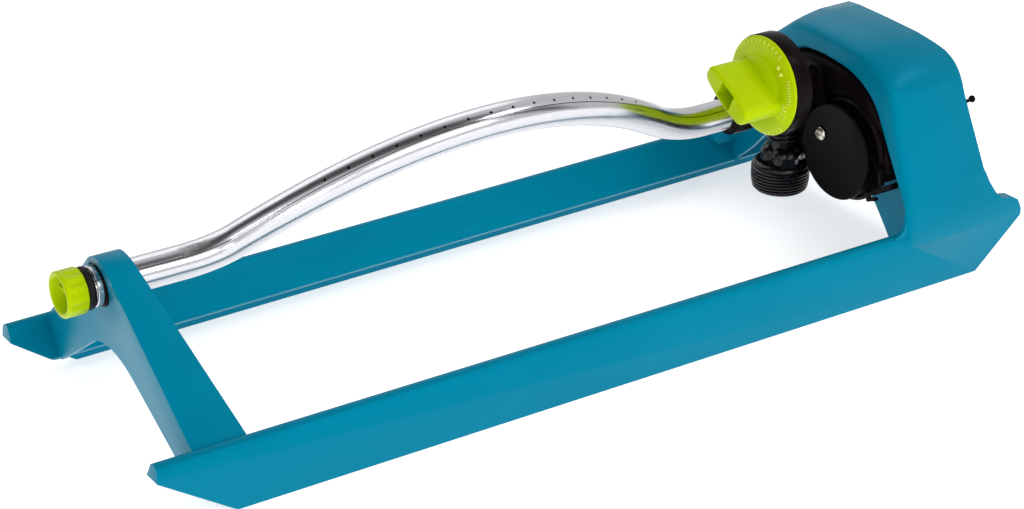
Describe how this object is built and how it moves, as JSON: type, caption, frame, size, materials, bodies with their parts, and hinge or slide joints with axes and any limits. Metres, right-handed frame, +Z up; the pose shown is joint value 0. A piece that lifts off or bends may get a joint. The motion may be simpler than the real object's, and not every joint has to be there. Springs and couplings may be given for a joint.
{
  "type": "oscillating garden sprinkler",
  "caption": "Oscillating lawn sprinkler: bent perforated tube swinging on a low sled frame, with hooded water motor, rocker, range dial and threaded hose inlet.",
  "frame": {"origin": "centre of the footprint on the ground", "axes": "+X from the plugged end of the tube to the hood, +Y to the far rail as seen from the dial side, +Z up"},
  "size_m": [0.4391, 0.1568, 0.1166],
  "materials": {
    "frame_plastic": "satin moulded polypropylene, teal",
    "lime_plastic": "satin moulded plastic, lime green",
    "black_plastic": "fine satin moulded plastic, black",
    "tube_aluminium": "drawn and bent tube, lengthwise brushed",
    "seal_rubber": "soft black rubber",
    "screw_steel": "bright plated screw",
    "filter_mesh": "fine woven strainer"
  },
  "bodies": {
    "base": {"base_frame": "frame_plastic", "front_bush": "black_plastic", "motor_housing": "black_plastic", "outlet_bush": "black_plastic", "inlet_neck": "black_plastic", "latch_clip": "black_plastic", "trip_bracket": "black_plastic", "case_screw_1": "screw_steel", "case_screw_2": "screw_steel", "case_screw_3": "screw_steel", "case_screw_4": "screw_steel", "rear_cap": "black_plastic", "rear_peg": "black_plastic"},
    "tube": {"spray_tube": "tube_aluminium", "rocker_arm": "black_plastic"},
    "plug": {"end_plug": "lime_plastic", "plug_seal": "seal_rubber"},
    "dial": {"range_dial": "lime_plastic"},
    "link": {"link_rod": "black_plastic"},
    "crank": {"crank_disc": "black_plastic", "drive_disc": "black_plastic", "crank_screw": "screw_steel"},
    "connector": {"hose_connector": "black_plastic", "hose_washer": "seal_rubber", "inlet_filter": "filter_mesh"}
  },
  "joints": [
    {"name": "tube_swing", "type": "hinge", "parent": "base", "child": "tube", "pos_m": [0, 0, 0.0705], "axis": [1, 0, 0], "range_deg": [-85, 20]},
    {"name": "dial_turn", "type": "hinge", "parent": "tube", "child": "dial", "pos_m": [0.1065, -0.0241, 0.092], "axis": [1, 0, 0], "range_deg": [-60, 60]},
    {"name": "link_swing", "type": "hinge", "parent": "tube", "child": "link", "pos_m": [0.1466, -0.013, 0.0865], "axis": [1, 0, 0], "range_deg": [-8, 8]},
    {"name": "plug_pull", "type": "slide", "parent": "tube", "child": "plug", "axis": [1, 0, 0], "range_m": [-0.016, 0]},
    {"name": "crank_turn", "type": "hinge", "parent": "base", "child": "crank", "pos_m": [0.1434, -0.0328, 0.0544], "axis": [1, 0, 0], "continuous": true},
    {"name": "connector_swivel", "type": "hinge", "parent": "base", "child": "connector", "pos_m": [0.1403, 0, 0.027], "axis": [0, 0, 1], "continuous": true}
  ]
}
